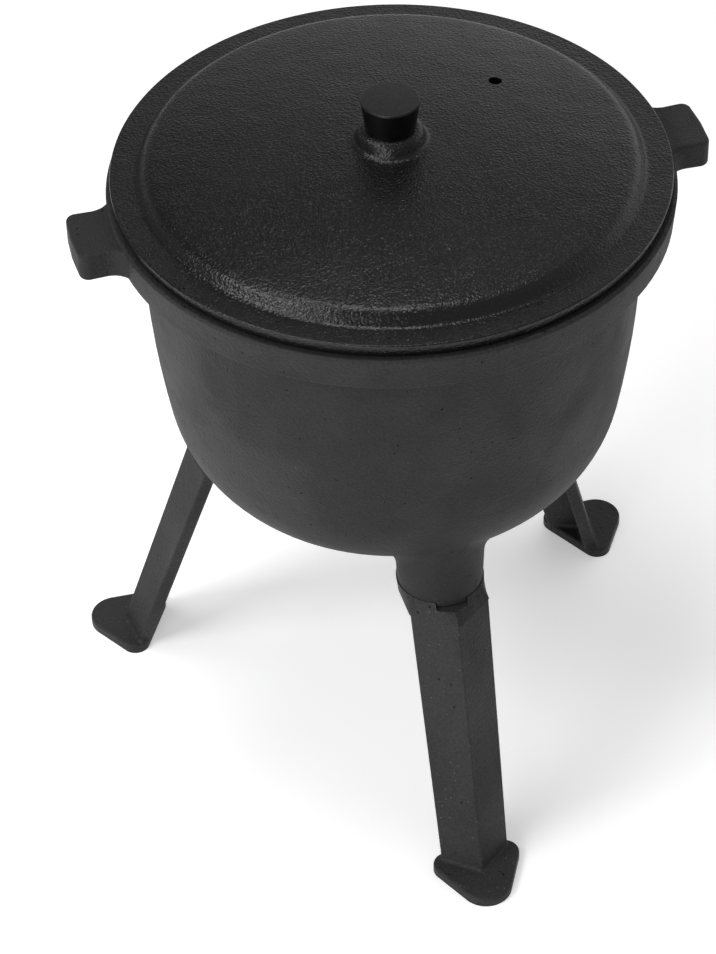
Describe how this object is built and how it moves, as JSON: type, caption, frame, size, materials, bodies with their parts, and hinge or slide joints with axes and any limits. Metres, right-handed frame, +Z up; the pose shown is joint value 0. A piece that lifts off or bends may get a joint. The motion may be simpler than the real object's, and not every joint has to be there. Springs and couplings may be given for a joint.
{
  "type": "three-legged cast iron cooking pot",
  "caption": "Round-bottomed cast iron cooking pot with ears, a domed loose lid with a turned knob, and splayed cast legs bolted under the pot.",
  "frame": {"origin": "on the floor, below the middle of the whole pot's bounding box", "axes": "+Z up; the front leg points along -Y and the ears lie on +X and -X"},
  "size_m": [0.327, 0.3254, 0.3984],
  "materials": {
    "pot_iron": "sand-cast, blackened",
    "lid_iron": "sand-cast, blackened, slightly satin",
    "leg_iron": "sand-cast, blackened",
    "knob_black": "turned, satin black",
    "hardware_steel": "dark zinc"
  },
  "bodies": {
    "root": {"pot_body": "pot_iron", "lid": "lid_iron", "lid_knob": "knob_black", "knob_washer": "hardware_steel", "knob_screw": "hardware_steel", "leg_front": "leg_iron", "leg_right": "leg_iron", "leg_left": "leg_iron", "leg_bolts": "hardware_steel", "leg_washers": "hardware_steel"}
  },
  "joints": []
}
